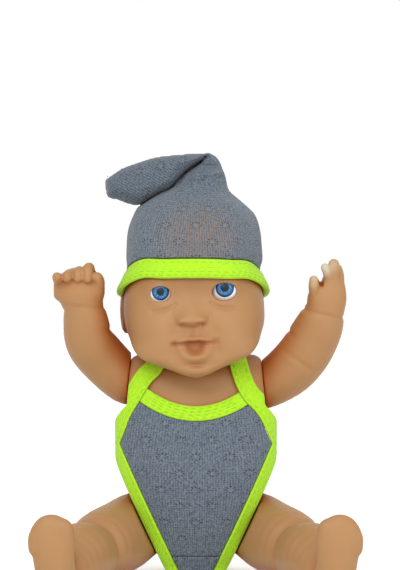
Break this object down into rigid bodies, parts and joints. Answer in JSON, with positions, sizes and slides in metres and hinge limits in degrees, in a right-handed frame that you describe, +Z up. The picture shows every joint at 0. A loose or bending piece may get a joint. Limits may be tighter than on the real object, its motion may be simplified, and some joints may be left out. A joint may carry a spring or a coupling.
{
  "type": "baby doll",
  "caption": "Sitting vinyl baby doll with turning head, arms and legs, inset eyes, knitted bodysuit and pull-off stocking cap.",
  "frame": {"origin": "middle of the flat seat of the bodysuit, on the floor the doll sits on", "axes": "+Z up, the doll faces -Y, and its left side is +X"},
  "size_m": [0.1258, 0.1171, 0.1748],
  "materials": {
    "vinyl": "matt soft vinyl",
    "eye_white": "gloss",
    "eye_blue": "gloss",
    "grey_knit": "eyelet cotton knit",
    "bright_binding": "ribbed cotton binding",
    "closure_tape": "hook-and-loop tape"
  },
  "bodies": {
    "body": {"torso_shell": "vinyl", "bodysuit_front": "grey_knit", "bodysuit_back_right": "grey_knit", "bodysuit_back_left": "grey_knit", "bodysuit_seat": "grey_knit", "back_closure_strip": "closure_tape", "neck_binding_front": "bright_binding", "neck_binding_back": "bright_binding", "right_armhole_binding": "bright_binding", "left_armhole_binding": "bright_binding", "right_leg_binding": "bright_binding", "left_leg_binding": "bright_binding"},
    "head": {"head_shell": "vinyl", "right_eye_white": "eye_white", "left_eye_white": "eye_white", "right_eye_iris": "eye_blue", "left_eye_iris": "eye_blue"},
    "cap": {"cap_body": "grey_knit", "cap_band": "bright_binding"},
    "right_arm": {"right_arm": "vinyl"},
    "left_arm": {"left_arm": "vinyl"},
    "right_leg": {"right_leg": "vinyl"},
    "left_leg": {"left_leg": "vinyl"}
  },
  "joints": [
    {"name": "neck", "type": "hinge", "parent": "body", "child": "head", "pos_m": [0, 0, 0.0882], "axis": [-0.0436, 0, 0.999], "range_deg": [-12, 18]},
    {"name": "right_shoulder", "type": "hinge", "parent": "body", "child": "right_arm", "pos_m": [-0.0278, 0.001, 0.0798], "axis": [0.9962, 0, -0.0872], "continuous": true},
    {"name": "left_shoulder", "type": "hinge", "parent": "body", "child": "left_arm", "pos_m": [0.0278, 0.001, 0.0798], "axis": [0.9962, 0, 0.0872], "continuous": true},
    {"name": "right_hip", "type": "hinge", "parent": "body", "child": "right_leg", "pos_m": [-0.021, 0.001, 0.02], "axis": [0.9063, 0, 0.4226], "range_deg": [-20, 105]},
    {"name": "left_hip", "type": "hinge", "parent": "body", "child": "left_leg", "pos_m": [0.021, 0.001, 0.02], "axis": [0.9063, 0, -0.4226], "range_deg": [-20, 105]},
    {"name": "cap_lift", "type": "slide", "parent": "head", "child": "cap", "axis": [-0.0432, 0.1392, 0.9893], "range_m": [0, 0.09]}
  ]
}
